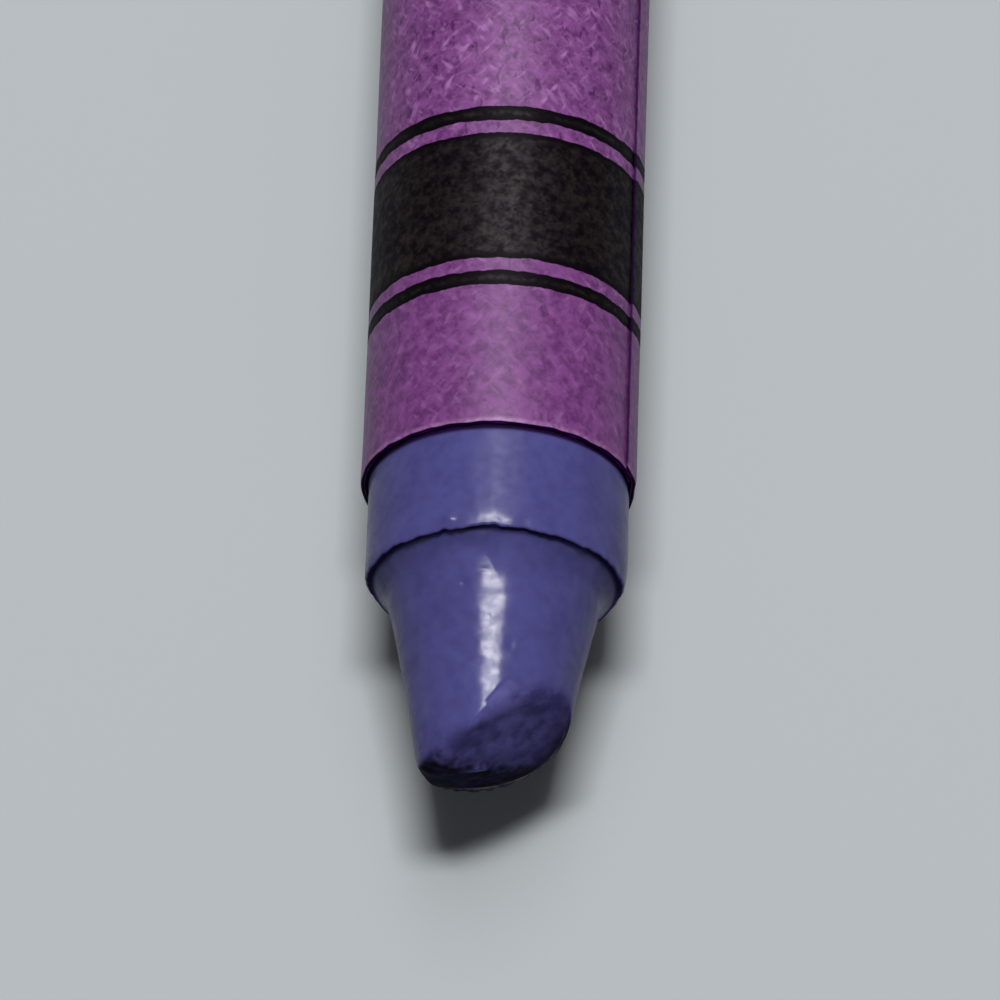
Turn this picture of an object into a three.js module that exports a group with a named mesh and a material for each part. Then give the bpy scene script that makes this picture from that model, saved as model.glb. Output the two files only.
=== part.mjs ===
// A wax crayon with a worn point, lying on its side: a cast wax stick, the paper label wound twice round it,
// and the film of paste between them. Millimetres, +Z up, the point towards -Y.
//
// Each piece is built along its own +Z, from the flat base at z = 0 to the point, with +Y as the side that
// faces up, and the whole crayon is then laid down.
import * as THREE from "three";

// The wax stick
const newLength = 92.1; // from the base to the nose of an unused crayon
const baseRadius = 4.0;
const mouldDraft = 0.03; // how much less the radius is at the shoulder
const baseEdgeRound = 0.35;
const lipRound = 0.26;
const coneLength = 10.0; // from the shoulder to the nose of an unused crayon
const shoulderStep = 0.5; // how far the cone's root stands in from the lip
const flareLength = 0.5; // the cone leaves the shoulder in a short flare
const flareDrop = 0.23;
const noseRadius = 1.75; // of an unused crayon
const flankHollow = 0.19; // how far the cone's side dips below a straight line

// The worn point: a slanting, slightly domed face that use has cut across the cone
const wearReach = 5.53; // from the shoulder to the face, on the crayon's axis
const wearSlope = 0.445; // how fast the face falls back towards +X
const wearNod = 0.03; // and towards the upper side
const wearTwist = 0.1; // makes the rim a little skew, per millimetre
const wearDome = 0.3; // how far the face bulges in its middle
const wearRound = 0.3; // the softened rim

// The paper label
const labelLength = 76.2;
const labelSetback = 3.5; // bare wax between the label and the shoulder
const paper = 0.07; // one thickness of label paper
const turns = 2; // the label goes round twice
const lapAngle = 9; // degrees that it overlaps itself beyond that
const lapEdgeAngle = 72; // degrees from the top to the free edge, towards +X
const climbAngle = 9; // degrees in which the paper climbs over its own first edge

// The paste
const pasteFilm = 0.015; // room for paste under each turn of the label
const pasteSkin = 0.004; // clearance on both sides of the film
const pasteMargin = 0.8; // bare paper at the label's two ends

// How finely the round forms are divided
const facets = 40;
const roundSteps = 4;
const flankSteps = 6;
const faceRings = 4;

const facetAngle = (2 * Math.PI) / facets;
const shoulder = newLength - coneLength;
const lipRadius = baseRadius - mouldDraft;
const labelFront = shoulder - labelSetback;
const labelBack = labelFront - labelLength;
const coneRoot = lipRadius - shoulderStep;
const flareEnd = shoulder + flareLength;
const flankTop = coneRoot - flareDrop;

const wax = new THREE.MeshStandardMaterial({ color: 0x4b4486, roughness: 0.38, metalness: 0 });
const dyedPaper = new THREE.MeshStandardMaterial({ color: 0x7f4587, roughness: 0.85, metalness: 0 });
const driedPaste = new THREE.MeshStandardMaterial({ color: 0xd9d2bf, roughness: 0.6, metalness: 0 });

// Meridians hold the vertices of all three pieces, counted from the top towards +X.
const meridianAngle = (side) => side * facetAngle;

// The cone's radius at a height on the stick, below any wear: a straight side with a slight parabolic hollow.
function flankRadius(height) {
  const share = (height - flareEnd) / (newLength - flareEnd);
  return THREE.MathUtils.lerp(flankTop, noseRadius, share) - 4 * flankHollow * share * (1 - share);
}

// The height of the worn face at a place across the stick, before it is domed.
function wornHeight(across, up) {
  return shoulder + wearReach - wearSlope * across - wearNod * up - wearTwist * across * up;
}

// Where the worn face meets the cone, as radius and height, in the direction of an angle from the top. Each
// pass takes the cone's radius at the last height, which settles because the cone is steep.
function wornRim(angle) {
  const passes = 30;
  let height = shoulder + wearReach;
  for (let pass = 0; pass < passes; pass++) {
    const radius = flankRadius(height);
    height = wornHeight(radius * Math.sin(angle), radius * Math.cos(angle));
  }
  return new THREE.Vector2(flankRadius(height), height);
}

// A rounded corner as points of radius and height, from one direction to the next.
function cornerArc(centreRadius, centreHeight, round, from, to) {
  return new THREE.EllipseCurve(centreRadius, centreHeight, round, round, from, to).getPoints(roundSteps);
}

// One meridian of the wax stick at an angle from the top: points of radius and height from the middle of the
// base, up the side, over the lip, along the cone and across the worn face to the axis.
function stickMeridian(angle) {
  const rim = wornRim(angle);
  const facePoint = (share) => {
    const radius = rim.x * share;
    const height = wornHeight(radius * Math.sin(angle), radius * Math.cos(angle));
    return new THREE.Vector2(radius, height + wearDome * (1 - share * share));
  };
  const flankEnd = rim.y - wearRound;
  const flank = [];
  for (let step = 0; step <= flankSteps; step++) {
    const height = THREE.MathUtils.lerp(flareEnd, flankEnd, step / flankSteps);
    flank.push(new THREE.Vector2(flankRadius(height), height));
  }
  const flare = new THREE.QuadraticBezierCurve(
    new THREE.Vector2(coneRoot, shoulder),
    new THREE.Vector2(flankTop + flareDrop / 3, shoulder + flareLength / 3),
    flank[0],
  );
  const faceShare = 1 - wearRound / rim.x;
  const softRim = new THREE.QuadraticBezierCurve(flank[flankSteps], rim, facePoint(faceShare));
  const face = [];
  for (let ring = 1; ring <= faceRings; ring++) {
    face.push(facePoint(faceShare * (1 - ring / faceRings)));
  }
  return [
    new THREE.Vector2(0, 0),
    ...cornerArc(baseRadius - baseEdgeRound, baseEdgeRound, baseEdgeRound, -Math.PI / 2, 0),
    ...cornerArc(lipRadius - lipRound, shoulder - lipRound, lipRound, 0, Math.PI / 2),
    ...flare.getPoints(roundSteps),
    ...flank.slice(1),
    ...softRim.getPoints(roundSteps).slice(1),
    ...face,
  ];
}

// A closed body lofted round the axis through its meridians, whose first and last points lie on the axis.
function loft(meridianAt) {
  const ends = meridianAt(0);
  const rings = ends.length - 2;
  const points = [];
  for (let side = 0; side < facets; side++) {
    const angle = meridianAngle(side);
    for (const point of meridianAt(angle).slice(1, -1)) {
      points.push(point.x * Math.sin(angle), point.x * Math.cos(angle), point.y);
    }
  }
  const start = points.length / 3;
  const end = start + 1;
  points.push(0, 0, ends[0].y, 0, 0, ends[ends.length - 1].y);
  const faces = [];
  for (let side = 0; side < facets; side++) {
    const here = side * rings;
    const next = ((side + 1) % facets) * rings;
    faces.push(start, here, next, end, next + rings - 1, here + rings - 1);
    for (let ring = 0; ring < rings - 1; ring++) {
      faces.push(here + ring, here + ring + 1, next + ring);
      faces.push(next + ring, here + ring + 1, next + ring + 1);
    }
  }
  const geometry = new THREE.BufferGeometry();
  geometry.setAttribute("position", new THREE.Float32BufferAttribute(points, 3));
  geometry.setIndex(faces);
  geometry.computeVertexNormals();
  return geometry;
}

// The label's winding goes in steps of one facet, counted outwards from its first edge, next to the wax.
const stepsIn = (degrees) => Math.round(THREE.MathUtils.degToRad(degrees) / facetAngle);
const stepsRound = Math.round(turns * facets);
const lastStep = stepsRound + stepsIn(lapAngle);
const climbSteps = stepsIn(climbAngle);
const windingAngle = (step) => meridianAngle(stepsIn(lapEdgeAngle) + lastStep - step);

// How many layers lie under the paper at a step of the winding: one more after each climb, which ends where
// the turn is complete.
function layersUnder(step) {
  let layers = 0;
  for (let turnEnd = facets; turnEnd <= stepsRound; turnEnd += facets) {
    layers += THREE.MathUtils.smoothstep(step, turnEnd - climbSteps, turnEnd);
  }
  return layers;
}

// A strip wound round the stick, parallel to the label. Its inner face stands this far outside the label's
// own inner face, or inside it when the offset is negative.
function woundStrip(offset, thickness, length) {
  const inner = [];
  const outer = [];
  for (let step = 0; step <= lastStep; step++) {
    const angle = windingAngle(step);
    const direction = new THREE.Vector2(Math.sin(angle), Math.cos(angle));
    const radius = baseRadius + pasteFilm + layersUnder(step) * (paper + pasteFilm) + offset;
    inner.push(direction.clone().multiplyScalar(radius));
    outer.push(direction.clone().multiplyScalar(radius + thickness));
  }
  const section = new THREE.Shape([...inner, ...outer.reverse()]);
  return new THREE.ExtrudeGeometry(section, { depth: length, bevelEnabled: false });
}

function namedMesh(name, geometry, material, height) {
  const mesh = new THREE.Mesh(geometry, material);
  mesh.name = name;
  mesh.position.z = height;
  return mesh;
}

const pasteGeometry = woundStrip(pasteSkin - pasteFilm, pasteFilm - 2 * pasteSkin, labelLength - 2 * pasteMargin);
const waxStick = namedMesh("wax_stick", loft(stickMeridian), wax, 0);
const paperLabel = namedMesh("paper_label", woundStrip(0, paper, labelLength), dyedPaper, labelBack);
const labelPaste = namedMesh("label_paste", pasteGeometry, driedPaste, labelBack + pasteMargin);

// Laid on its side with the point towards -Y: the label is on the ground, and half of the stick's length is on
// each side of the origin.
const crayon = new THREE.Group();
crayon.add(waxStick, paperLabel, labelPaste);
waxStick.geometry.computeBoundingBox();
paperLabel.geometry.computeBoundingBox();
crayon.rotation.x = Math.PI / 2;
crayon.position.y = waxStick.geometry.boundingBox.max.z / 2;
crayon.position.z = -paperLabel.geometry.boundingBox.min.y;

export default crayon;
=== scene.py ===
import math

import bpy
import numpy as np
from mathutils import Matrix, Vector


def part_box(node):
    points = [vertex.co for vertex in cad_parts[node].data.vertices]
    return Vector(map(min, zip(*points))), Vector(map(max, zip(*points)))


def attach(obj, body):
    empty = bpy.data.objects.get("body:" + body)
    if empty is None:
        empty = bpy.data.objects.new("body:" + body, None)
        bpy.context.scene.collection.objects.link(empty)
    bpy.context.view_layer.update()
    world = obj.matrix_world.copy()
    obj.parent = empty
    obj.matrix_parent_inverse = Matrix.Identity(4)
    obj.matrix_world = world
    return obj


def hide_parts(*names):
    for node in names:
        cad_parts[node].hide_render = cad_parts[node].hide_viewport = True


# A worn wax crayon lying on a pale table, seen from above its point. Lengths are in millimetres here, and
# become metres where a mesh is made. "Top" is the side that faces up, and angles run from it towards +X.
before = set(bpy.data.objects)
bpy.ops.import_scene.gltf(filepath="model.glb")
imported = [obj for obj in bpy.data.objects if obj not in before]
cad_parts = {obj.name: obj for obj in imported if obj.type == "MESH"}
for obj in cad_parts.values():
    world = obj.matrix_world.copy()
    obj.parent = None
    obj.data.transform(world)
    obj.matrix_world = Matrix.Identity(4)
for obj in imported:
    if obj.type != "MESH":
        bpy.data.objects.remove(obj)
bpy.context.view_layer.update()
mm = 0.001
waxLow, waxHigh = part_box("wax_stick")
basePlane = waxHigh.y / mm  # where the flat end of the stick is, along Y
axisHeight = (waxLow.z + waxHigh.z) / 2 / mm
print("stage: frame loaded")

cameraView = {
    "target": (0.069, -34.692, 4.17),
    "distance": 280.0,
    "elevation": 60.55,
    "yaw": 2.0,
    "roll": -0.26,
    "fieldOfView": 6.228,
    "nearest": 10.0,
}


# The camera looks at the target from a distance. It stands at an elevation above the ground, is turned by
# the yaw from the crayon's own direction, and is rolled about its line of sight.
def addCamera(view):
    height, yaw, roll = (math.radians(view[key]) for key in ("elevation", "yaw", "roll"))
    back = Vector((math.sin(yaw) * math.cos(height), -math.cos(yaw) * math.cos(height), math.sin(height)))
    right = Vector((math.cos(yaw), math.sin(yaw), 0))
    up = back.cross(right)
    turnedRight = right * math.cos(roll) + up * math.sin(roll)
    turnedUp = up * math.cos(roll) - right * math.sin(roll)
    data = bpy.data.cameras.new("Camera")
    data.angle = math.radians(view["fieldOfView"])
    data.clip_start = view["nearest"] * mm
    camera = bpy.data.objects.new("Camera", data)
    place = Matrix.Translation((Vector(view["target"]) + back * view["distance"]) * mm)
    camera.matrix_world = place @ Matrix((turnedRight, turnedUp, back)).transposed().to_4x4()
    bpy.context.scene.collection.objects.link(camera)
    bpy.context.scene.camera = camera


addCamera(cameraView)
print("stage: camera")


# Helpers for shapes

# Eases from 0 to 1 between two values: three times the share squared, less twice the share cubed.
def ease(value, low, high):
    share = np.clip((value - low) / (high - low), 0, 1)
    return share * share * (3 - 2 * share)


# A bell curve: 1 at the middle, and about a third at one width from it.
def hill(value, middle, width):
    return np.exp(-(((value - middle) / width) ** 2))


# 1 between two places and 0 outside them. Each place is a pair, where a change begins and is complete.
def between(value, start, end):
    return ease(value, *start) * (1 - ease(value, *end))


# A smooth random surface of two coordinates: a sum of waves in random directions. Their lengths are 0.7 to
# 1.5 times the one given, and the sum stays about between -1 and 1.
def softNoise(across, along, wave, seed, count=22):
    random = np.random.default_rng(seed)
    shortest, spread, phases, crest = 0.7, 0.8, 7, 1.6
    total = 0
    for turn, size, phase in random.random((count, 3)):
        heading = turn * math.pi * 2
        pace = 2 * math.pi / (wave * (shortest + spread * size))
        way = across * math.cos(heading) + along * math.sin(heading)
        total = total + np.cos(pace * way + phase * phases)
    return total / math.sqrt(count / 2) / crest


# The same round the crayon, at a turn in degrees, with waves that are about so many degrees long.
def noiseRound(turn, degrees, seed):
    return softNoise(turn / degrees, 0 * turn, 1.0, seed)


# An angle as the one from the top, between half a turn to either side. It stays in radians.
def fromTop(angle):
    return (angle + math.pi) % (2 * math.pi) - math.pi


# How many degrees lie between a turn and a middle, the short way round.
def degreesAway(turn, middle):
    return np.abs((turn - middle + 180) % 360 - 180)


# A place on the crayon, from its radius, its angle from the top and its distance from the flat end.
def onCrayon(radius, angle, height):
    across = radius * np.sin(angle)
    up = radius * np.cos(angle)
    return np.stack([across, basePlane - height, axisHeight + up], axis=-1)


# Corner numbers of the squares between the rows and columns of a grid, whose columns close into a ring.
def ringFaces(rows, columns):
    numbers = np.arange(rows * columns).reshape(rows, columns)
    numbers = np.concatenate([numbers, numbers[:, :1]], axis=1)
    corners = (numbers[:-1, :-1], numbers[:-1, 1:], numbers[1:, 1:], numbers[1:, :-1])
    return np.stack(corners, axis=-1).reshape(-1, 4)


# Makes a mesh of points and faces, which takes the place of a CAD node. Edges sharper than an angle stay so.
def makePiece(name, points, faces, material, node, sharpAngle):
    mesh = bpy.data.meshes.new(name)
    mesh.from_pydata((points * mm).tolist(), [], faces)
    mesh.shade_smooth()
    mesh.set_sharp_from_angle(angle=math.radians(sharpAngle))
    mesh.materials.append(material)
    piece = bpy.data.objects.new(name, mesh)
    bpy.context.scene.collection.objects.link(piece)
    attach(piece, "root")
    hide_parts(node)
    return piece


# Keeps a value for each point of a piece, for its material to read.
def setAttribute(piece, name, values):
    layer = piece.data.attributes.new(name, "FLOAT", "POINT")
    layer.data.foreach_set("value", np.array(values, dtype=np.float32).ravel())


# Helpers for materials

# A colour written as screen values from 0 to 255, as the linear values that shaders take.
def shade(colour):
    values = [value / 255 for value in colour]
    return [v / 12.92 if v <= 0.04045 else ((v + 0.055) / 1.055) ** 2.4 for v in values] + [1.0]


# Links another node's output to an input, or sets the input to a value.
def feed(tree, socket, value):
    if isinstance(value, bpy.types.NodeSocket):
        tree.links.new(value, socket)
    else:
        socket.default_value = value


# Adds a shader node, with its inputs given by name or number.
def addNode(tree, kind, inputs=(), **settings):
    made = tree.nodes.new(kind)
    for key, value in settings.items():
        setattr(made, key, value)
    for key, value in dict(inputs).items():
        feed(tree, made.inputs[key], value)
    return made


# Joins values with one operation, such as ADD or MAXIMUM, from the first to the last.
def combine(tree, operation, first, *others):
    for other in others:
        first = addNode(tree, "ShaderNodeMath", {0: first, 1: other}, operation=operation).outputs[0]
    return first


# Multiplies values from the first to the last.
def times(tree, *values):
    return combine(tree, "MULTIPLY", *values)


# What a mask leaves: one less its value.
def inverse(tree, mask):
    return combine(tree, "SUBTRACT", 1.0, mask)


# Eases a value that goes from low to high into one that goes between two others.
def remap(tree, value, low, high, newLow=0.0, newHigh=1.0):
    values = {"Value": value, "From Min": low, "From Max": high, "To Min": newLow, "To Max": newHigh}
    return addNode(tree, "ShaderNodeMapRange", values, interpolation_type="SMOOTHSTEP").outputs[0]


# Goes from the first colour to the second as the share goes from 0 to 1.
def blendColour(tree, share, first, second):
    return addNode(tree, "ShaderNodeMix", {0: share, 6: first, 7: second}, data_type="RGBA").outputs[2]


# A colour that goes from one to another as a pattern's value goes through a spread.
def varied(tree, pattern, tone):
    spread, first, second = tone
    return blendColour(tree, remap(tree, pattern, *spread), shade(first), shade(second))


# Lays colours over a base one after the other, each as strongly as its mask.
def layColours(tree, base, layers):
    for mask, colour in layers:
        base = blendColour(tree, mask, base, shade(colour))
    return base


# A value that setAttribute has kept.
def readAttribute(tree, name):
    return addNode(tree, "ShaderNodeAttribute", attribute_name=name).outputs["Fac"]


# Tilts the surface's light as if a height of 1 stood out by a distance.
def makeBump(tree, height, strength, distance):
    given = {"Height": height, "Strength": strength, "Distance": distance * mm}
    return addNode(tree, "ShaderNodeBump", given).outputs[0]


# Starts a node group that takes a vector and some named values, and puts out one value.
def newGroup(name, values, output):
    group = bpy.data.node_groups.new(name, "ShaderNodeTree")
    group.interface.new_socket("Vector", in_out="INPUT", socket_type="NodeSocketVector")
    for valueName, value in values.items():
        socket = group.interface.new_socket(valueName, in_out="INPUT", socket_type="NodeSocketFloat")
        socket.default_value = value
    group.interface.new_socket(output, in_out="OUTPUT", socket_type="NodeSocketFloat")
    entry = group.nodes.new("NodeGroupInput")
    leave = group.nodes.new("NodeGroupOutput")
    return group, entry.outputs, leave.inputs[0]


# Places a group in a material, with its values in the order that newGroup was given.
def placeGroup(tree, group, vector, values):
    return addNode(tree, "ShaderNodeGroup", enumerate([vector, *values]), node_tree=group).outputs[0]


# Starts a material, with the plain colour that it has outside renders.
def newMaterial(name, base):
    material = bpy.data.materials.new(name)
    material.use_nodes = True
    material.diffuse_color = shade(base)
    tree = material.node_tree
    return material, tree, tree.nodes["Principled BSDF"]


def setShader(tree, shader, values):
    for name, value in values.items():
        feed(tree, shader.inputs[name], value)


# Effects that the materials share

# Random flecks: round spots in some of the cells of a scattered pattern.
def makeFleckGroup():
    full = 0.4  # the share of a spot's size that is at full strength
    group, given, out = newGroup("flecks", {"Scale": 1.0, "Size": 0.2, "Share": 0.3}, "Mask")
    cells = addNode(group, "ShaderNodeTexVoronoi", {"Vector": given["Vector"], "Scale": given["Scale"]})
    spot = remap(group, combine(group, "DIVIDE", cells.outputs["Distance"], given["Size"]), 1.0, full)
    luck = addNode(group, "ShaderNodeSeparateColor", {0: cells.outputs["Color"]}).outputs[0]
    chosen = combine(group, "LESS_THAN", luck, given["Share"])
    group.links.new(times(group, spot, chosen), out)
    return group


# Grain: a mix of fine and coarse noise, as one value around 0.5.
def makeGrainGroup():
    group, given, out = newGroup("grain", {"Fine": 10.0, "Coarse": 1.0, "Mix": 0.5}, "Value")
    noises = []
    for size, detail in (("Fine", 3.0), ("Coarse", 2.0)):
        noise = {"Vector": given["Vector"], "Scale": given[size], "Detail": detail}
        noises.append(addNode(group, "ShaderNodeTexNoise", noise).outputs[0])
    parts = {0: given["Mix"], 2: noises[0], 3: noises[1]}
    group.links.new(addNode(group, "ShaderNodeMix", parts).outputs[0], out)
    return group


# Strands: short threads that lie in one direction, from noise that is stretched along it.
def makeStrandGroup():
    values = {"Turn": 0.0, "Width": 10.0, "Length": 3.0, "Edge": 0.6, "Soft": 0.14}
    group, given, out = newGroup("strands", values, "Mask")
    turning = {"Vector": given["Vector"], "Angle": given["Turn"]}
    turned = addNode(group, "ShaderNodeVectorRotate", turning, rotation_type="Z_AXIS").outputs[0]
    scales = {0: given["Width"], 1: given["Length"], 2: 1.0}
    stretch = addNode(group, "ShaderNodeCombineXYZ", scales).outputs[0]
    drawn = addNode(group, "ShaderNodeVectorMath", {0: turned, 1: stretch}, operation="MULTIPLY").outputs[0]
    wavy = {"Vector": drawn, "Scale": 1.0, "Detail": 1.0, "Distortion": 0.4}
    noise = addNode(group, "ShaderNodeTexNoise", wavy).outputs[0]
    full = combine(group, "ADD", given["Edge"], given["Soft"])
    group.links.new(remap(group, noise, given["Edge"], full), out)
    return group


flecks = makeFleckGroup()
grain = makeGrainGroup()
strands = makeStrandGroup()
print("stage: shared effects")


# The wax stick. Angles are in degrees from the top, and heights are from the flat end. A pair of numbers is
# where a change begins and where it is complete. Noise is given as size, wave length and seed.
stick = {
    "length": 92.1,  # when new
    "radius": 4.0,
    "draft": 0.03,  # how much thinner it is at the shoulder
    "baseRound": 0.35,
    "bareCollar": 3.5,  # between the label and the shoulder
    "cone": 10.0,
    "noseRadius": 1.75,  # when new
    "hollow": 0.19,  # how far the cone's side dips
    "sharpAngle": 40,
    "columns": 384,
    "rows": {"edge": 8, "collar": 30, "lip": 13, "flare": 16, "flank": 84, "rim": 18, "face": 46},
    "baseRings": (0.12, 0.3, 0.5, 0.7, 0.86, 0.96),  # shares of the flat end's radius
    "sideRows": [(0.6, 2.2, 6), (3.5, 74, 22), (77, 78.4, 4), (78.5, 79.0, 11)],  # from, to, how many
    "collarStart": 79.0,  # where the rows that follow the lip begin
    "lip": {
        "round": 0.1,
        "step": 0.24,  # down to the cone's root
        "tuck": 0.06,  # how far the step goes in under the lip
        "setback": 0.27,  # how far it is worn back on the underside
        "underside": (72, 122),
        "roll": 0.06,  # the gentle roll-over before the lip, most at the top
        "rollLength": 0.6,
        "rollLeast": 0.45,  # of the most
        "rollWidth": 50,
        "rollWaver": (0.4, 9, 12),
        "waver": [(0.02, 14, 11), (0.014, 5, 13)],
        "nicks": [  # angle, width in degrees, how far the lip is pushed back
            (-4.0, 8.0, 0.09), (15.0, 5.0, 0.05), (25.0, 3.0, -0.03), (-22.0, 3.0, 0.03),
            (-52.0, 7.0, 0.03), (62.0, 8.0, 0.04), (-95.0, 9.0, 0.04), (100.0, 8.0, 0.05),
            (150.0, 6.0, -0.05), (-140.0, 7.0, 0.05),
        ],
    },
    "flare": {
        "length": 0.5,
        "drop": 0.49,
        "reach": 0.64,  # where it has run out into the cone's side
        "more": 0.76,  # how much further it runs beside the top, on the right
        "moreStart": (-4.5, 5),
        "moreEnd": (20, 45),
    },
    "wear": {
        "reach": 5.53,  # from the shoulder to the face, on the axis
        "slope": 0.445,
        "nod": 0.03,
        "twist": 0.1,
        "dome": 0.62,
        "passes": 30,  # until the rim has settled
        "round": 0.42,  # of the rim, where nothing below changes it
        "broad": (0.85, -48, 22),  # rubbed off further at the top left: rounding, angle, width
        "crisp": (0.2, -14, 11),  # where the scrape ends
        "corner": (0.78, -99, 26),  # at the lower left
        "tight": (0.14, -160, (90, 150)),  # on the right and the underside: rounding, angle, reach
        "burr": 0.05,  # a thin raised edge there
        "burrLeast": 0.7,
        "burrWaver": (0.5, 9, 15),
        "lowBurr": (0.1, 180, 26),  # higher at the very bottom: height, angle, width
        "burrRow": (0.6, 0.2),  # where it stands on the rim's rounding, and how wide it is
        "crease": 0.25,  # how sharply the face bends along its ridge
        "creaseSoft": 0.3,
        "creaseRise": 0.35,
        "ridgeAt": -0.1,
        "ridgeSlant": -0.77,
        "ridgeTurn": 0.79,  # makes a distance of the slanting measure
        "ridgeWander": (0.12, 0.75, 33),
        "chips": [  # place across and up, width, height
            (-0.35, 0.25, 0.09, 0.035), (-0.1, 0.1, 0.07, 0.03), (-0.85, 0.45, 0.06, 0.02),
            (-0.55, 0.62, 0.13, -0.03), (0.25, -0.3, 0.12, -0.025), (-1.1, -0.1, 0.14, -0.035),
            (0.6, -0.7, 0.1, 0.02), (0.1, -1.1, 0.16, -0.02), (-1.5, 0.5, 0.1, -0.03),
            (1.1, 0.2, 0.3, -0.02), (-0.7, -1.0, 0.12, 0.012),
        ],
    },
    "dents": [  # in the cone's side: angle, height, half width across, half length along, depth
        (-16.6, 83.49, 0.12, 0.11, 0.045),
        (-20.5, 81.78, 0.24, 0.19, -0.085),
        (24.0, 81.80, 0.12, 0.08, -0.02),
        (-1.3, 84.56, 0.05, 0.06, 0.008),
        (13.0, 85.35, 0.13, 0.22, 0.018),
        (-4.0, 83.12, 0.30, 0.06, 0.010),
        (18.0, 83.35, 0.05, 0.30, 0.006),
        (-6.0, 85.90, 0.25, 0.10, 0.006),
        (38.6, 82.40, 0.06, 0.06, 0.015),
        (-28.0, 84.6, 0.20, 0.35, 0.008),
        (24.0, 84.1, 0.25, 0.30, 0.008),
    ],
    "scrape": {  # a small place beside the worn face
        "arc": -0.04,  # a point on its crisp edge, along the round of the cone
        "height": 87.12,
        "heading": (0.773, 0.634),  # square to that edge
        "edgeDepth": 0.02,
        "edgeWidth": 0.05,
        "slope": 0.15,
        "slopeEnd": 0.6,
        "fade": (0.4, 1.0),
        "burr": 0.012,
        "burrWidth": 0.03,
        "start": (-0.25, 0.05),  # along the edge
        "end": (0.7, 1.2),
        "scuff": (0.01, 0.03),  # how deep it is where its colour begins and is full
        "scuffEnd": (0.25, 0.6),
    },
    "flat": {  # a place beside the scrape that leans a little further
        "slope": 0.035,
        "height": 86.95,
        "longest": 2,
        "start": (-1.5, -1.0),
        "end": (0.1, 0.5),
    },
    "skin": {
        "noseFade": (0.8, 1.6),  # radius where the scrape and the flat fade out
        "collarShift": 0.035,  # the bare collar stands a little to the right
        "shiftStart": (78.6, 78.9),
        "shiftEnd": (81.2, 81.9),
        "wander": [(0.006, 2.4, 3), (0.003, 0.9, 4)],
        "ripple": (0.0018, 0.5, 5),  # on the cone
        "rippleWaves": 40,
        "fadeRadius": 2,  # nearer the axis, both get weaker
        "leastRadius": 0.3,  # for lengths round the axis
    },
    "wearAndPaintedLight": {
        "stepShadeLeans": (40, 75),  # how far the lip leans where the painted shade on its step begins
        "stepShadeShare": 0.16,  # of the flare
        "stepShadeMore": 0.14,  # on the underside
        "rubbedFrom": 0.55,  # of the rim's rounding, before the rim
        "rubbedSoft": 0.12,
        "rubbedSofter": 0.13,  # where the rim is broad
        "rimHighlight": (158, 44),  # a painted highlight along the face's lower right rim: angle and width
        "rimHighlightRow": (0.88, 0.16),  # where it is on the rim's rounding, and how wide
        # the next five place dark crumbs and painted shade: below the ridge, where the face looks down, and
        # by the right rim
        "crumbs": [(0.22, 0.5, 31), (0.1, 0.2, 32)],
        "underRidge": (-0.55, 0.3),
        "nearRim": (0.62, 1.0),  # as shares of the face's radius
        "rimSide": (112, 36),  # angle and width
        "rimShare": 0.95,
        "labelEdgeShadeStart": (-0.3, 0),  # painted shadow on the wax at the label's end, measured from there
        "labelEdgeShadeEnd": (0.11, 0.23),
    },
    "look": {
        "plain": (75, 68, 134),
        "body": ((0.36, 0.64), (70, 67, 122), (77, 75, 132)),  # the pattern's spread, and two colours
        "face": ((0.4, 0.6), (63, 60, 112), (86, 82, 142)),
        # dark crumbs, and painted shade on the face below its ridge and by its right rim
        "crustAndShade": ((0.45, 0.6), (15, 12, 27), (31, 23, 29)),
        "scuff": (90, 87, 144),
        # painted highlight along the face's lower right rim
        "edgeHighlight": (150, 142, 152),
        # painted shade on the lip's step and the flare's first rows
        "step": (26, 19, 58),
        # painted shadow on the wax at the label's front end
        "labelEdgeShade": (29, 7, 48),
        "mottle": (2600.0, 620.0, 0.5),  # grains: fine, coarse, mix
        "patchGrain": (5200.0, 1900.0, 0.5),
        "fine": (8000.0, 2400.0, 0.75),
        "clouded": (3000.0, 1500.0, 0.4),
        "pits": (1100.0, 0.16, 0.12),  # scale, size, share
        "bands": (0.0, 800.0, 2500.0, 0.4, 0.25),  # turn, width, length, edge, soft
        "scuffPatches": (0.35, 0.65, 0.4, 1.0),  # from, to, strengths there
        "grimeAndShadePatches": (0.38, 0.56, 0.8, 1.0),
        "edgeHighlightPatches": (0.4, 0.56, 0.25, 1.0),
        "rough": (0.3, 0.7, 0.26, 0.34),
        "rougher": 0.5,  # where it is rubbed, or painted with shade at the step and at the label's edge
        "pitDepth": 0.6,
        "bump": (0.3, 0.03),  # strength, height in millimetres
        "polish": (0.38, 0.6, 0.2, 0.11),
        "bandShare": 0.34,
    },
}
lip, flare, wear, wearAndPaintedLight = (stick[name] for name in ("lip", "flare", "wear", "wearAndPaintedLight"))

shoulder = stick["length"] - stick["cone"]
labelFront = shoulder - stick["bareCollar"]
flareEnd = shoulder + flare["length"]
lipRadius = stick["radius"] - stick["draft"]
coneRoot = lipRadius - lip["step"]
flankTop = coneRoot - flare["drop"]


# The cone's radius at a height: straight from the flare to the nose, less a shallow hollow that is deepest
# in the middle.
def flankRadius(height):
    share = (height - flareEnd) / (stick["length"] - flareEnd)
    straight = flankTop + (stick["noseRadius"] - flankTop) * share
    return straight - 4 * stick["hollow"] * share * (1 - share)


# A place on the cone's side, as radius and height.
def onFlank(height):
    return flankRadius(height), height


# The height of the skew plane that use has cut, at a place across the stick.
def wornHeight(across, up):
    skew = wear["slope"] * across + wear["nod"] * up + wear["twist"] * across * up
    return shoulder + wear["reach"] - skew


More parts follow.
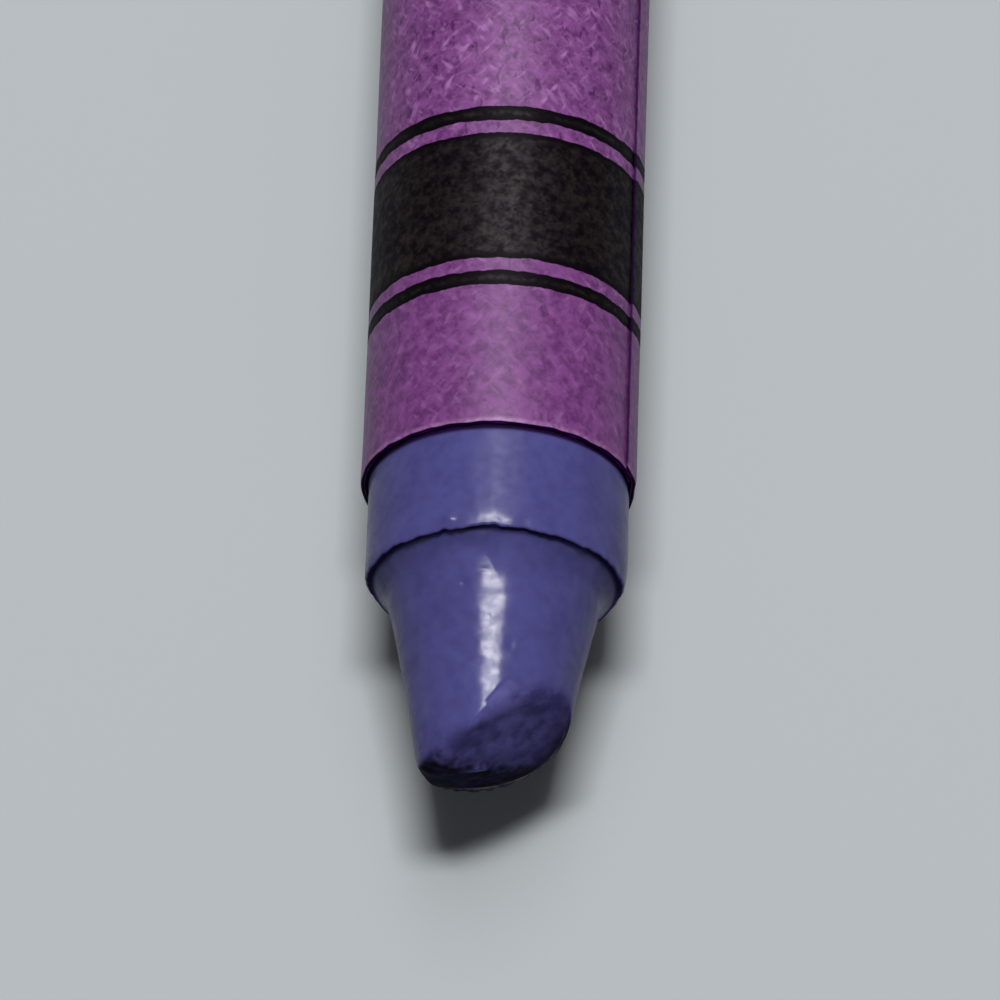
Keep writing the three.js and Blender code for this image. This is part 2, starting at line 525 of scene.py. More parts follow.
# How far the face rises over that plane: a dome that comes down to nothing at the rim, less a soft crease
# along a slanting ridge, below which the face looks down, and with small chips on it.
def wornRise(across, up, share):
    size, wave, seed = wear["ridgeWander"]
    offRidge = (wear["ridgeAt"] + wear["ridgeSlant"] * across - up) * wear["ridgeTurn"]
    offRidge = offRidge + size * softNoise(across, up, wave, seed)
    crease = np.sqrt(offRidge**2 + wear["creaseSoft"] ** 2) - wear["creaseRise"]
    chips = 0
    for chipAcross, chipUp, width, height in wear["chips"]:
        away = (across - chipAcross) ** 2 + (up - chipUp) ** 2
        chips = chips + height * np.exp(-away / width**2)
    return (wear["dome"] - wear["crease"] * crease) * (1 - share**2) + chips


# A place on the worn face: a share of the way from the axis to the rim, in the direction of each angle.
def facePoint(share, angle, rimRadius):
    radius = rimRadius * share
    across = radius * np.sin(angle)
    up = radius * np.cos(angle)
    return radius, wornHeight(across, up) + wornRise(across, up, share)


# Where the worn face meets the cone, in the direction of each angle. Each pass takes the cone's radius at
# the height that the last one gave.
def wornRim(angle):
    height = np.full_like(angle, shoulder + wear["reach"])
    for _ in range(wear["passes"]):
        radius = flankRadius(height)
        height = wornHeight(radius * np.sin(angle), radius * np.cos(angle))
    return onFlank(height)


# How far the rim is rounded at each turn: the usual rounding, moved towards other ones by their masks. It
# gives the masks of the broad and the tight places too.
def rimRounding(turn):
    masks = {name: hill(turn, *wear[name][1:]) for name in ("broad", "crisp", "corner")}
    tightAngle, tightReach = wear["tight"][1:]
    masks["tight"] = (1 - ease(degreesAway(turn, tightAngle), *tightReach)) * (1 - masks["corner"])
    rounding = wear["round"]
    for name, mask in masks.items():
        rounding = rounding + (wear[name][0] - wear["round"]) * mask
    return rounding, masks["broad"], masks["tight"]


# How the lip runs at each turn: its height, its rounding, how far the collar rolls in before it, and a mask
# of the underside. Nicks and soft waves push it to and fro, and the underside is worn back.
def lipCourse(turn):
    push = sum(depth * hill(turn, at, width) for at, width, depth in lip["nicks"])
    for depth, degrees, seed in lip["waver"]:
        push = push + depth * noiseRound(turn, degrees, seed)
    under = ease(np.abs(turn), *lip["underside"])
    share, degrees, seed = lip["rollWaver"]
    roll = lip["roll"] * (lip["rollLeast"] + (1 - lip["rollLeast"]) * hill(turn, 0, lip["rollWidth"]))
    roll = roll * (1 + share * noiseRound(turn, degrees, seed))
    return shoulder - push - lip["setback"] * under, lip["round"] * (1 + under), roll, under


# Points of a curve that leaves its first point towards the second and arrives at the third.
def bend(start, corner, end, shares):
    gone = shares[:, None]
    keep = 1 - gone
    return tuple(keep**2 * start[i] + 2 * keep * gone * corner[i] + gone**2 * end[i] for i in (0, 1))


# The wax as rows of radius and height, from the middle of the flat end to the middle of the worn face. A row
# has a place for each angle, and each part of the outline gives a block of rows.
def waxSurface():
    angle = np.linspace(0, 2 * math.pi, stick["columns"], endpoint=False)
    same = np.ones_like(angle)
    turn = np.degrees(fromTop(angle))
    count = stick["rows"]

    # the flat end and the quarter circle of its rounded edge
    flatRadius = stick["radius"] - stick["baseRound"]
    tilt = np.radians(np.linspace(-90, 0, count["edge"]))
    rings = flatRadius * np.array(stick["baseRings"])
    endRadius = np.concatenate([rings, flatRadius + stick["baseRound"] * np.cos(tilt)])[:, None] * same
    endHeight = np.concatenate([0 * rings, stick["baseRound"] * (1 + np.sin(tilt))])[:, None] * same

    # the side, which thins towards the shoulder and rolls in before the lip, and the lip's quarter circle
    lipHeight, lipRound, roll, under = lipCourse(turn)
    lipStart = lipHeight - lipRound
    body = np.concatenate([np.linspace(*part) for part in stick["sideRows"]])[:, None] * same
    collarShares = np.linspace(0, 1, count["collar"])[1:, None]
    collar = stick["collarStart"] + (lipStart - stick["collarStart"]) * collarShares
    sideHeight = np.concatenate([body, collar])
    rolled = np.clip((sideHeight - (lipStart - lip["rollLength"])) / lip["rollLength"], 0, 1)
    sideRadius = stick["radius"] - stick["draft"] * sideHeight / shoulder - roll * rolled**2
    leans = np.linspace(0, 90, count["lip"])[1:, None]
    lipEdge = lipRadius - roll - lipRound * (1 - np.cos(np.radians(leans)))
    lipRise = lipStart + lipRound * np.sin(np.radians(leans))

    # the flare out of the step, and the cone's side up to the soft rim
    rimRadius, rimHeight = wornRim(angle)
    rimRound, broad, tight = rimRounding(turn)
    flankEnd = rimHeight - rimRound
    flareRun = flare["reach"] + flare["more"] * between(turn, flare["moreStart"], flare["moreEnd"])
    flareStart = (coneRoot, np.maximum(shoulder, lipHeight) - lip["tuck"])
    flankStart = shoulder + flareRun
    flareShares = np.linspace(0, 1, count["flare"])
    flareBlock = bend(flareStart, onFlank(shoulder + flareRun / 3), onFlank(flankStart), flareShares)
    flankHeight = flankStart + (flankEnd - flankStart) * np.linspace(0, 1, count["flank"])[1:, None]

    # the soft rim with its burr, and the face inside it
    inner = 1 - rimRound / rimRadius
    faceStart = facePoint(inner, angle, rimRadius)
    rimShares = np.linspace(0, 1, count["rim"])
    rimRadii, rimHeights = bend(onFlank(flankEnd), (rimRadius, rimHeight), faceStart, rimShares)
    waver, degrees, seed = wear["burrWaver"]
    burr = wear["burr"] * tight * (wear["burrLeast"] + waver * noiseRound(turn, degrees, seed))
    lowHeight, lowAngle, lowWidth = wear["lowBurr"]
    burr = burr + lowHeight * hill(degreesAway(turn, lowAngle), 0, lowWidth)
    rimHeights = rimHeights + burr * hill(rimShares[:, None], *wear["burrRow"])
    faceShares = np.linspace(1, 0, count["face"])[1:-1, None]

    blocks = [
        (endRadius, endHeight),
        (sideRadius, sideHeight),
        (lipEdge, lipRise),
        flareBlock,
        onFlank(flankHeight),
        (rimRadii[1:], rimHeights[1:]),
        facePoint(inner * faceShares, angle, rimRadius),
    ]
    radius, height = (np.concatenate(parts) for parts in zip(*blocks))
    ends = np.cumsum([len(block[0]) for block in blocks])
    lipRows, flareRows, rimRows = (slice(ends[i - 1], ends[i]) for i in (2, 3, 5))

    # masks over the surface: painted shade on the step, the rubbed face, a painted highlight along its lower
    # right rim, dark crumbs with painted shade below its ridge and by its right rim, and painted shadow at
    # the label's end
    # painted shade on the step under the lip
    step = np.zeros_like(radius)
    step[lipRows] = ease(leans, *wearAndPaintedLight["stepShadeLeans"])
    step[flareRows] = 1 - ease(flareShares[:, None] / (wearAndPaintedLight["stepShadeShare"] + wearAndPaintedLight["stepShadeMore"] * under), 0, 1)
    rubbedFrom = rimHeight - wearAndPaintedLight["rubbedFrom"] * rimRound
    rubbedSoft = wearAndPaintedLight["rubbedSoft"] + wearAndPaintedLight["rubbedSofter"] * broad
    rubbed = ease((height - rubbedFrom) / rubbedSoft, 0, 1) * (height > flareEnd)
    # a painted highlight on the rim's rounding at the lower right
    rimHighlightAngle, rimHighlightWidth = wearAndPaintedLight["rimHighlight"]
    rimHighlight = np.zeros_like(radius)
    rimHighlight[rimRows] = hill(rimShares[1:, None], *wearAndPaintedLight["rimHighlightRow"])
    rimHighlight = rimHighlight * hill(degreesAway(turn, rimHighlightAngle), 0, rimHighlightWidth)
    across = radius * np.sin(angle)
    up = radius * np.cos(angle)
    offRidge = wear["ridgeAt"] + wear["ridgeSlant"] * across - up
    # dark crumbs with painted shade below the slanting ridge, where the face looks down, and painted shade
    # by the right rim
    for size, wave, seed in wearAndPaintedLight["crumbs"]:
        offRidge = offRidge + size * softNoise(across, up, wave, seed)
    nearRim = ease(radius / rimRadius, *wearAndPaintedLight["nearRim"]) * hill(turn, *wearAndPaintedLight["rimSide"])
    grimeAndShade = rubbed * np.maximum(ease(offRidge, *wearAndPaintedLight["underRidge"]), wearAndPaintedLight["rimShare"] * nearRim)
    # painted shadow on the wax at the label's end
    labelEdgeShade = between(height - labelFront, wearAndPaintedLight["labelEdgeShadeStart"], wearAndPaintedLight["labelEdgeShadeEnd"])
    masks = {"step": step, "rubbed": rubbed, "rimHighlight": rimHighlight, "grimeAndShade": grimeAndShade, "labelEdgeShade": labelEdgeShade}
    return radius, height, np.broadcast_to(angle, radius.shape), masks


# Presses dents, a scrape and a flat into the cone's side, moves the collar aside, and lets the whole surface
# wander a little. It gives the new radius and a mask of the scraped place.
def roughen(radius, height, angle):
    scrape, flat, skin = (stick[name] for name in ("scrape", "flat", "skin"))
    turn = fromTop(angle)
    arc = turn * np.maximum(radius, skin["leastRadius"])
    onCone = height > flareEnd

    depth = 0
    for at, level, wide, long, deep in stick["dents"]:
        side = (turn - math.radians(at)) * radius
        depth = depth + deep * np.exp(-((side / wide) ** 2) - ((height - level) / long) ** 2)

    # the scrape has one crisp edge with a burr, beyond which it deepens like a ramp
    headAcross, headUp = scrape["heading"]
    offEdge = (arc - scrape["arc"]) * headAcross + (height - scrape["height"]) * headUp
    alongEdge = (arc - scrape["arc"]) * headUp - (height - scrape["height"]) * headAcross
    ramp = scrape["slope"] * np.clip(offEdge, 0, scrape["slopeEnd"]) * (1 - ease(offEdge, *scrape["fade"]))
    scraping = scrape["edgeDepth"] * ease(offEdge, 0, scrape["edgeWidth"]) + ramp
    scraping = scraping + scrape["burr"] * hill(offEdge, 0, scrape["burrWidth"])
    scraping = scraping * between(alongEdge, scrape["start"], scrape["end"])
    leaning = flat["slope"] * np.clip(height - flat["height"], 0, flat["longest"])
    leaning = leaning * between(arc, flat["start"], flat["end"])
    depth = depth + (scraping + leaning) * onCone * ease(radius, *skin["noseFade"])

    shift = skin["collarShift"] * between(height, skin["shiftStart"], skin["shiftEnd"])
    depth = depth - shift * np.sin(turn)
    wander = sum(size * softNoise(arc, height, wave, seed) for size, wave, seed in skin["wander"])
    size, wave, seed = skin["ripple"]
    ripple = size * softNoise(arc, height, wave, seed, skin["rippleWaves"]) * onCone
    scraped = ease(scraping, *scrape["scuff"]) * (1 - ease(offEdge, *scrape["scuffEnd"])) * onCone
    return radius - depth + (wander + ripple) * np.clip(radius / skin["fadeRadius"], 0, 1), scraped


# Wax: mottled violet, paler where it is scuffed or rubbed, with dark crumbs and painted shade on the face
# below its ridge and by its right rim, a painted highlight along its lower right rim, and painted shade on
# the step and at the label's end. A cloudy polish lies on the cast surface, but not on the rubbed places or
# where the step and the label's end are painted with shade.
def makeWaxMaterial():
    look = stick["look"]
    material, tree, shader = newMaterial("wax", look["plain"])
    place = addNode(tree, "ShaderNodeTexCoord").outputs["Object"]
    names = ("rubbed", "grimeAndShade", "scraped", "rimHighlight", "step", "labelEdgeShade")
    rubbed, grimeAndShade, scraped, rimHighlight, step, labelEdgeShade = (readAttribute(tree, name) for name in names)
    mottle, patchGrain, fine, clouded = (
        placeGroup(tree, grain, place, look[name]) for name in ("mottle", "patchGrain", "fine", "clouded")
    )

    body = blendColour(tree, rubbed, varied(tree, mottle, look["body"]), varied(tree, mottle, look["face"]))
    scuff = times(tree, scraped, remap(tree, mottle, *look["scuffPatches"]))
    body = layColours(tree, body, [(scuff, look["scuff"])])
    # dark crumbs and painted shade on the face below its ridge and by its right rim
    grimeAndShadeShare = times(tree, grimeAndShade, remap(tree, patchGrain, *look["grimeAndShadePatches"]))
    body = blendColour(tree, grimeAndShadeShare, body, varied(tree, mottle, look["crustAndShade"]))
    # a painted highlight on the lower right rim, then painted shade on the step and painted shadow at the
    # label's end
    edgeHighlight = times(tree, rimHighlight, remap(tree, patchGrain, *look["edgeHighlightPatches"]))
    body = layColours(tree, body, [(edgeHighlight, look["edgeHighlight"]), (step, look["step"]), (labelEdgeShade, look["labelEdgeShade"])])

    # the places painted with shade at the step and at the label's end
    stepAndEdgeShade = combine(tree, "MAXIMUM", step, labelEdgeShade)
    rough = remap(tree, mottle, *look["rough"])
    for mask in (stepAndEdgeShade, rubbed):
        rough = combine(tree, "ADD", rough, times(tree, mask, look["rougher"]))
    pits = placeGroup(tree, flecks, place, look["pits"])
    relief = combine(tree, "SUBTRACT", fine, times(tree, pits, look["pitDepth"]))
    bands = times(tree, placeGroup(tree, strands, place, look["bands"]), look["bandShare"])
    polish = times(tree, remap(tree, clouded, *look["polish"]), inverse(tree, bands))
    sound = inverse(tree, combine(tree, "MAXIMUM", rubbed, stepAndEdgeShade))
    setShader(tree, shader, {
        "Base Color": body,
        "Roughness": rough,
        "Normal": makeBump(tree, relief, *look["bump"]),
        "Coat Weight": times(tree, polish, sound),
        "Coat Roughness": 0.2,
        "Coat IOR": 1.9,
        "Specular IOR Level": 0.03,
        "Subsurface Weight": 0.12,
        "Subsurface Radius": (0.5, 0.45, 1.0),
        "Subsurface Scale": 0.0006,
    })
    return material


# The stick is the grid of its surface, closed by fans of triangles round a point on the axis at each end.
def makeWaxStick():
    radius, height, angle, masks = waxSurface()
    radius, scraped = roughen(radius, height, angle)
    masks["scraped"] = scraped * (1 - masks["rubbed"])
    rows, columns = radius.shape
    tipHeight = shoulder + wear["reach"] + wear["dome"]
    middles = onCrayon(np.zeros(2), np.zeros(2), np.array([0.0, tipHeight]))
    points = np.concatenate([onCrayon(radius, angle, height).reshape(-1, 3), middles])
    base = rows * columns
    tip = base + 1
    first = np.arange(columns)
    following = np.roll(first, -1)
    last = (rows - 1) * columns
    faces = ringFaces(rows, columns).tolist()
    faces += np.stack([np.full(columns, base), following, first], axis=-1).tolist()
    faces += np.stack([np.full(columns, tip), last + first, last + following], axis=-1).tolist()
    wax = makeWaxMaterial()
    piece = makePiece("wax_body", points, faces, wax, "wax_stick", stick["sharpAngle"])
    for name, mask in masks.items():
        setAttribute(piece, name, np.append(mask.ravel(), [0, mask[-1].mean()]))


makeWaxStick()
print("stage: wax stick")


# The paper label. It is a strip, wound round the stick from its first edge, next to the wax, to its free
# edge. "Along" is the distance from its front end, and "wound" is how many degrees of it have gone before.
label = {
    "length": 76.2,
    "paper": 0.07,
    "film": 0.015,  # room for paste under each turn
    "freeEdge": 68.0,  # its angle from the top
    "wound": 733.0,
    "turnEnds": (360, 720),
    "climb": 9.0,  # degrees in which it climbs over its own first edge
    "steps": 460,
    "lastSteps": (2.2, 0.9, 0.15, 0),  # degrees before the free edge
    "endRows": (0, 0.02, 0.05, 0.09, 0.14, 0.2, 0.3, 0.42, 0.6, 0.85, 1.2, 1.7, 2.3, 3.0),
    "middleRows": (4.0, 3.5, 38),  # distance from the two ends, how many
    "sharpAngle": 50,
    "standOff": 0.045,  # at its left front
    "standOffSide": (-92, 42),  # angle and width
    "standOffLength": 0.9,
    "uneven": (0.005, 7.0, 21),
    "unevenRound": 4.1,
    "lapLift": 0.01,
    "lapDegrees": 12,
    "lapLeast": 0.6,
    "lapWaver": (0.4, 9.0, 22),
    "dip": 0.03,  # of the outer face at the cut ends
    "dipLength": 0.07,
    "ragged": (0.02, 10, 23),
    "raggedLength": 0.6,
    "cutLength": 0.02,  # the cut at both ends, painted dark as shade
    "freeCut": 0.008,  # and at the free edge
    "freeShare": 0.75,
    "hiddenShare": 0.95,
    "hiddenFade": 0.3,
    "rings": {
        "start": 4.78,  # from the label's end to the first ring
        "widths": (0.5, 4.48, 0.5),
        "gap": 0.45,
        "edge": 0.015,  # half the softness of their edges
        "core": (0.08, 0.3),  # how far inside the edge the ink begins to wear, and wears fully
        "waver": (0.2, 0.8, -0.035, 0.035),
        "waverScale": 2.2,
    },
    "look": {
        "plain": (127, 69, 135),
        "dye": ((0.38, 0.62), (91, 42, 97), (118, 63, 125)),  # the pattern's spread, and two colours
        # painted shade on the paper's cut ends, its free edge and its hidden faces
        "cut": ((0.02, 0.1), (50, 4, 80), (28, 2, 46)),
        "ink": (1, 1, 1),
        "wornInk": (31, 26, 22),
        "pale": (136, 83, 142),
        "fibre": (154, 100, 160),
        "flaw": (66, 20, 76),
        "pit": (58, 22, 68),
        "raised": (166, 114, 172),
        # a painted highlight along the label's front edge
        "edgeHighlight": (182, 132, 182),
        "blotch": (2.6, 0.6, 0.25),  # grains: fine, coarse, mix
        "mottle": (7.0, 3.4, 0.5),
        "patches": (1.6, 0.5, 0.4),
        "pits": (1.3, 0.12, 0.3),  # scale, size, share
        "flaws": [(0.08, 4.4, 1.9, 0.62, 0.1)],  # strands: turn, width, length, edge, soft
        "fibres": [(0.6, 6.0, 2.2, 0.53, 0.2), (2.3, 6.5, 2.4, 0.53, 0.2), (1.5, 5.5, 2.0, 0.55, 0.2)],
        "raisedFibres": [(0.75, 4.4, 1.5, 0.54, 0.26), (2.5, 4.8, 1.7, 0.54, 0.26)],
        "unworn": (2.5, 11.0, 0.45, 1.0),  # along the label: from, to, strengths there
        "paleSpread": (0.46, 0.64),
        "paleShare": 0.4,
        "fibreShare": 0.3,
        "flawShare": 0.75,
        "pitShare": 0.6,
        "raisedPatches": (0.38, 0.56),
        "raisedAlong": (4.0, 12.0, 0.34, 0.8),
        # where the painted highlight along the front edge lies
        "edgeHighlightAlong": (0.04, 0.2, 0.5, 0.0),
        "edgeHighlightPatches": (0.4, 0.6, 0.4, 1.0),
        "bareFibres": 0.1,
        "bareSpread": (0.82, 1.34),
        "rough": (0.3, 0.7, 0.38, 0.48),
        "inkRough": 0.3,
        "reliefShare": 0.5,
        "bump": (0.3, 0.03),  # strength, height in millimetres
        "gloss": 0.2,
        "inkDull": 0.165,  # how much less the ink has
        "inkBare": 0.13,  # and how much of that it keeps where it is worn
    },
}
labelRound = stick["radius"] + 0.1  # about the middle of the wound paper


# How far out a winding's inner face is: the stick, its paste, and one sheet more after each climb, which
# ends where a turn is complete.
def windingRadius(wound):
    radius = stick["radius"] + label["film"]
    for turnEnd in label["turnEnds"]:
        radius = radius + (label["paper"] + label["film"]) * ease(wound, turnEnd - label["climb"], turnEnd)
    return radius


# How the wound label strays from that: it stands off at its left front, and is slightly uneven all over.
def windingStray(angle, along):
    left = hill(np.degrees(fromTop(angle)), *label["standOffSide"])
    standOff = label["standOff"] * left * np.exp(-along / label["standOffLength"])
    size, wave, seed = label["uneven"]
    place = label["unevenRound"] * (np.sin(angle) + np.cos(angle))
    return standOff + size * softNoise(place, along, wave, seed)


# A strip wound round the stick: its inner and outer faces run side by side from the first edge to the free
# edge, and are carried along the crayon. Loose is 1 for a strip whose lap lifts a little, and whose ends are
# ragged and dip, and 0 for one that lies close. It gives the strip's points and faces, and for each column
# how far round the strip it is, and whether it is on the outer face.
def woundSheet(offset, thickness, rowsAlong, steps, loose, short):
    wound = np.linspace(short, label["wound"] - short, steps + 1)
    wound[-len(label["lastSteps"]) :] = wound[-1] - np.array(label["lastSteps"])
    wound = np.concatenate([wound, wound[::-1]])
    angle = np.radians(label["freeEdge"] + label["wound"] - wound)
    outside = np.repeat([0.0, 1.0], steps + 1)
    along = rowsAlong[:, None]
    radius = windingRadius(wound) + offset + thickness * outside + windingStray(angle, along)
    lap = ease(wound, label["wound"] - label["lapDegrees"], label["wound"])
    size, wave, seed = label["lapWaver"]
    lift = label["lapLeast"] + size * softNoise(along, 0 * along, wave, seed)
    radius = radius + loose * label["lapLift"] * lap * lift
    radius = radius - loose * outside * label["dip"] * np.exp(-along / label["dipLength"])
    size, degrees, seed = label["ragged"]
    ragged = loose * size * noiseRound(np.degrees(angle), degrees, seed)
    height = labelFront - along - ragged * np.exp(-along / label["raggedLength"])
    points = onCrayon(radius, angle, height).reshape(-1, 3)
    return points, sheetFaces(len(rowsAlong), steps), np.radians(wound) * labelRound, outside


# The strip's two faces and two long edges are the ring of its grid. Its ends are squares from face to face.
def sheetFaces(rows, steps):
    columns = 2 * (steps + 1)
    inner = np.arange(steps)
    outer = columns - 1 - inner
    front = np.stack([inner, outer, outer - 1, inner + 1], axis=-1)
    back = front[:, ::-1] + (rows - 1) * columns
    return ringFaces(rows, columns)[:, ::-1].tolist() + front.tolist() + back.tolist()


# The printed rings, the same at both ends: a mask of the ink, and one of its core, where it may be worn.
def printRings(tree, place, along):
    rings = label["rings"]
    fromEnd = combine(tree, "MINIMUM", along, combine(tree, "SUBTRACT", label["length"], along))
    noise = {"Vector": place, "Scale": rings["waverScale"], "Detail": 2.0}
    waver = addNode(tree, "ShaderNodeTexNoise", noise).outputs[0]
    wavered = combine(tree, "ADD", fromEnd, remap(tree, waver, *rings["waver"]))
    inks, cores = [], []
    start = rings["start"]
    coreStart, coreFull = rings["core"]
    for width in rings["widths"]:
        half = width / 2
        offMiddle = combine(tree, "SUBTRACT", wavered, start + half)
        away = addNode(tree, "ShaderNodeMath", {0: offMiddle}, operation="ABSOLUTE").outputs[0]
        inks.append(remap(tree, away, half + rings["edge"], half - rings["edge"]))
        cores.append(remap(tree, away, half - coreStart, half - coreFull))
        start += width + rings["gap"]
    return combine(tree, "MAXIMUM", *inks), combine(tree, "MAXIMUM", *cores)


# Dyed paper: blotched and mottled dye, light fibres that lie all ways, dark flaws along the crayon, pits,
# raised fibres in patches that are worn off towards the point, black rings that are thin in places, a
# painted highlight along the front edge, and painted shade on the cut edges and hidden faces.
def makeLabelMaterial():
    look = label["look"]
    material, tree, shader = newMaterial("label paper", look["plain"])
    place = addNode(tree, "ShaderNodeUVMap", uv_map="winding").outputs[0]
    along = addNode(tree, "ShaderNodeSeparateXYZ", {0: place}).outputs[1]
    cut = readAttribute(tree, "cut")
    blotch, mottle, patches = (
        placeGroup(tree, grain, place, look[name]) for name in ("blotch", "mottle", "patches")
    )
    pits = placeGroup(tree, flecks, place, look["pits"])
    flaws, fibres, raised = (
        combine(tree, "MAXIMUM", *[placeGroup(tree, strands, place, strand) for strand in look[name]])
        for name in ("flaws", "fibres", "raisedFibres")
    )

    unworn, raisedAlong, edgeHighlightAlong = (
        remap(tree, along, *look[name]) for name in ("unworn", "raisedAlong", "edgeHighlightAlong")
    )
    pale = remap(tree, mottle, *look["paleSpread"])
    raisedPatches = remap(tree, patches, *look["raisedPatches"])
    edgeHighlightPatches = remap(tree, mottle, *look["edgeHighlightPatches"])
    dye = layColours(tree, varied(tree, blotch, look["dye"]), [
        (times(tree, pale, unworn, look["paleShare"]), look["pale"]),
        (times(tree, fibres, unworn, look["fibreShare"]), look["fibre"]),
        (times(tree, flaws, unworn, look["flawShare"]), look["flaw"]),
        (times(tree, pits, look["pitShare"]), look["pit"]),
        (times(tree, raised, raisedPatches, raisedAlong), look["raised"]),
        # a painted highlight along the front edge
        (times(tree, edgeHighlightAlong, edgeHighlightPatches), look["edgeHighlight"]),
    ])

    ink, core = printRings(tree, place, along)
    shown = combine(tree, "ADD", times(tree, fibres, look["bareFibres"]), mottle, blotch)
    bare = times(tree, remap(tree, shown, *look["bareSpread"]), core)
    printed = blendColour(tree, bare, shade(look["ink"]), shade(look["wornInk"]))
    dye = blendColour(tree, ink, dye, printed)
    # the cut edges and hidden faces are painted dark as shade
    dye = blendColour(tree, cut, dye, varied(tree, along, look["cut"]))

    rough = remap(tree, mottle, *look["rough"])
    rough = combine(tree, "ADD", rough, times(tree, ink, look["inkRough"]))
    relief = combine(tree, "ADD", times(tree, fibres, look["reliefShare"]), mottle)
    holes = times(tree, combine(tree, "ADD", flaws, pits), look["reliefShare"])
    relief = combine(tree, "SUBTRACT", relief, holes)
    dull = combine(tree, "SUBTRACT", look["inkDull"], times(tree, bare, look["inkBare"]))
    gloss = combine(tree, "SUBTRACT", look["gloss"], times(tree, ink, dull))
    setShader(tree, shader, {
        "Base Color": dye,
        "Roughness": rough,
        "Normal": makeBump(tree, relief, *look["bump"]),
        "Coat Weight": times(tree, gloss, inverse(tree, cut)),
        "Coat Roughness": 0.42,
        "Coat IOR": 2.0,
        "Specular IOR Level": 0.07,
        "Specular Tint": (0.9, 0.4, 1.0, 1.0),
    })
    return material


# Lays the strip's own measures, round and along, on the piece as its map, in millimetres.
def windingMap(piece, arc, along):
    mesh = piece.data
    layer = mesh.uv_layers.new(name="winding")
    corners = np.empty(len(mesh.loops), dtype=np.int32)
    mesh.loops.foreach_get("vertex_index", corners)
    flat = np.stack([arc.ravel(), along.ravel()], axis=-1)[corners]
    layer.uv.foreach_set("vector", flat.astype(np.float32).ravel())


# The label, with a mask of painted shade on its cut edges. The faces that are hidden under the last turn are
# painted with shade too.
def makeLabel():
    near = np.array(label["endRows"])
    front, back, count = label["middleRows"]
    middle = np.linspace(front, label["length"] - back, count)
    rowsAlong = np.concatenate([near, middle, label["length"] - near[::-1]])
    points, faces, arc, outside = woundSheet(0, label["paper"], rowsAlong, label["steps"], 1, 0)
    paper = makeLabelMaterial()
    piece = makePiece("label_wrap", points, faces, paper, "paper_label", label["sharpAngle"])
    along, arc = np.broadcast_arrays(rowsAlong[:, None], arc)
    windingMap(piece, arc, along)

    last = arc.max()
    lastTurn = last - 2 * math.pi * labelRound
    covered = 1 - ease(arc, lastTurn - label["hiddenFade"], lastTurn)
    hidden = np.maximum(1 - outside, covered) * label["hiddenShare"]
    freeEdge = ease(arc, last - label["freeCut"], last) * label["freeShare"]
    fromEnd = np.minimum(along, label["length"] - along)
    cutEnds = 1 - ease(fromEnd, 0.0, label["cutLength"])
    setAttribute(piece, "cut", np.maximum(cutEnds, np.maximum(hidden, freeEdge)))


makeLabel()
print("stage: paper label")


# The paste under the label: a thinner strip that is wound along with it, and ends short of its edges.
paste = {
    "skin": 0.004,  # clearance on both sides
    "margin": 0.8,  # bare paper at the label's ends
    "short": 14,  # degrees without paste at the first edge and the free edge
    "rows": 24,
    "steps": 240,
    "sharpAngle": 50,
    "look": {
        "plain": (217, 210, 191),
        "tone": ((0.35, 0.65), (196, 184, 158), (224, 218, 202)),  # the pattern's spread, and two colours
        "clots": (3000.0, 300.0, 0.5),  # fine, coarse, mix
        "rough": (0.3, 0.7, 0.45, 0.7),
        "bump": (0.3, 0.01),  # strength, height in millimetres
    },
}


# Dried paste: cream, with paler clots.
def makePasteMaterial():
    look = paste["look"]
    material, tree, shader = newMaterial("dried paste", look["plain"])
    place = addNode(tree, "ShaderNodeTexCoord").outputs["Object"]
    clots = placeGroup(tree, grain, place, look["clots"])
    setShader(tree, shader, {
        "Base Color": varied(tree, clots, look["tone"]),
        "Roughness": remap(tree, clots, *look["rough"]),
        "Normal": makeBump(tree, clots, *look["bump"]),
    })
    return material


# The paste is wound as the label is, in the middle of the room under each turn.
def makePaste():
    rowsAlong = np.linspace(paste["margin"], label["length"] - paste["margin"], paste["rows"])
    offset = paste["skin"] - label["film"]
    thickness = label["film"] - 2 * paste["skin"]
    points, faces, _, _ = woundSheet(offset, thickness, rowsAlong, paste["steps"], 0, paste["short"])
    makePiece("paste_film", points, faces, makePasteMaterial(), "label_paste", paste["sharpAngle"])


makePaste()
print("stage: paste")


# The table and the lights. These lengths are in metres.
studio = {
    "tableSize": 3.0,
    "tableDrop": 0.00001,  # just under the crayon
    "tableColour": (172, 177, 180),
    "tableDim": (92, 92, 92),  # as the crayon is lit by it
    "point": (0, -0.035, 0),  # what the lamps face
    "distance": 0.9,
    "lamps": {  # direction, size across and along, power, colour
        "key": ((0.0, 0.13, 0.99), 0.35, 0.16, 7.2, (1.0, 1.0, 1.0)),
        "back": ((0.0, 0.49, 0.87), 0.17, 0.50, 0.65, (0.9, 0.96, 1.0)),
        "haze": ((0.0, 0.5, 0.86), 0.6, 0.50, 1.5, (1.0, 0.97, 1.0)),
        "front": ((0.1, -0.97, 0.22), 0.5, 0.3, 1.2, (1.0, 1.0, 1.0)),
    },
    "roomColour": (0.94, 0.98, 1, 1),
    "roomLight": 0.05,
    "roomSeen": 0.9,
}


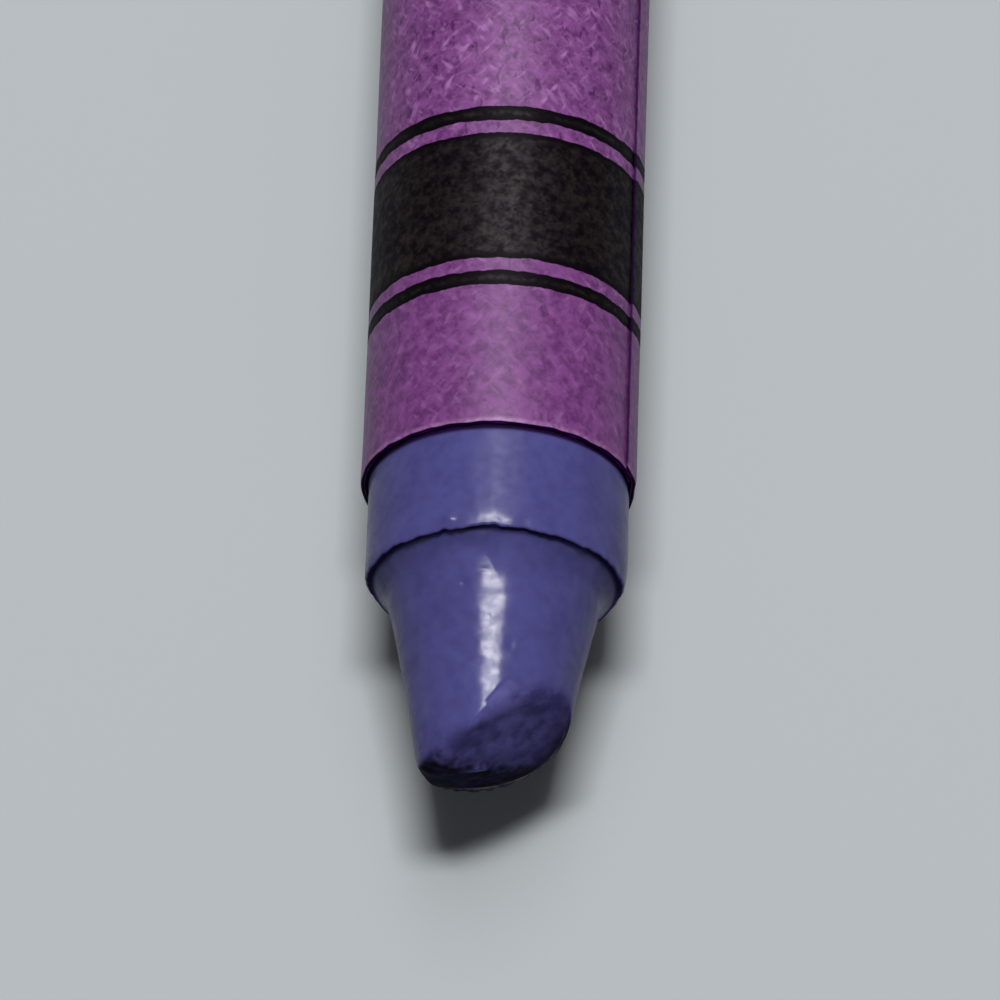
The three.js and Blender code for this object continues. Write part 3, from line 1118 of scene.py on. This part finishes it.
# A plain square table. It looks pale, and throws less light on the crayon than so pale a table would.
def makeTable():
    half = studio["tableSize"] / 2
    corners = [(x * half, y * half, -studio["tableDrop"]) for x, y in ((-1, -1), (1, -1), (1, 1), (-1, 1))]
    mesh = bpy.data.meshes.new("table")
    mesh.from_pydata(corners, [], [(0, 1, 2, 3)])
    table = bpy.data.objects.new("table", mesh)
    bpy.context.scene.collection.objects.link(table)
    material, tree, shader = newMaterial("pale table", studio["tableColour"])
    path = addNode(tree, "ShaderNodeLightPath").outputs
    rays = [path[name] for name in ("Is Camera Ray", "Is Glossy Ray", "Is Transmission Ray")]
    seen = combine(tree, "MAXIMUM", *rays)
    tone = blendColour(tree, seen, shade(studio["tableDim"]), shade(studio["tableColour"]))
    setShader(tree, shader, {"Base Color": tone, "Roughness": 0.9, "Specular IOR Level": 0.1})
    mesh.materials.append(material)


# A rectangular lamp that hangs in a direction from the point and faces it.
def makeLamp(name, direction, across, along, power, colour):
    data = bpy.data.lights.new(name, "AREA")
    data.shape = "RECTANGLE"
    data.size = across
    data.size_y = along
    data.energy = power
    data.color = colour
    lamp = bpy.data.objects.new(name, data)
    back = Vector(direction).normalized()
    right = Vector((1, 0, 0))
    turned = Matrix((right, back.cross(right), back)).transposed().to_4x4()
    lamp.matrix_world = Matrix.Translation(Vector(studio["point"]) + back * studio["distance"]) @ turned
    bpy.context.scene.collection.objects.link(lamp)


# A dim room whose light is plain, and which looks pale where the camera sees past the table.
def makeRoom():
    world = bpy.data.worlds.new("room")
    world.use_nodes = True
    bpy.context.scene.world = world
    tree = world.node_tree
    background = tree.nodes["Background"]
    path = addNode(tree, "ShaderNodeLightPath").outputs
    levels = {0: path["Is Camera Ray"], 2: studio["roomLight"], 3: studio["roomSeen"]}
    feed(tree, background.inputs["Color"], studio["roomColour"])
    feed(tree, background.inputs["Strength"], addNode(tree, "ShaderNodeMix", levels).outputs[0])


makeTable()
for lampName, lampValues in studio["lamps"].items():
    makeLamp(lampName, *lampValues)
makeRoom()
bpy.context.scene.view_settings.view_transform = "Standard"
print("stage: table and light")

bpy.context.view_layer.update()
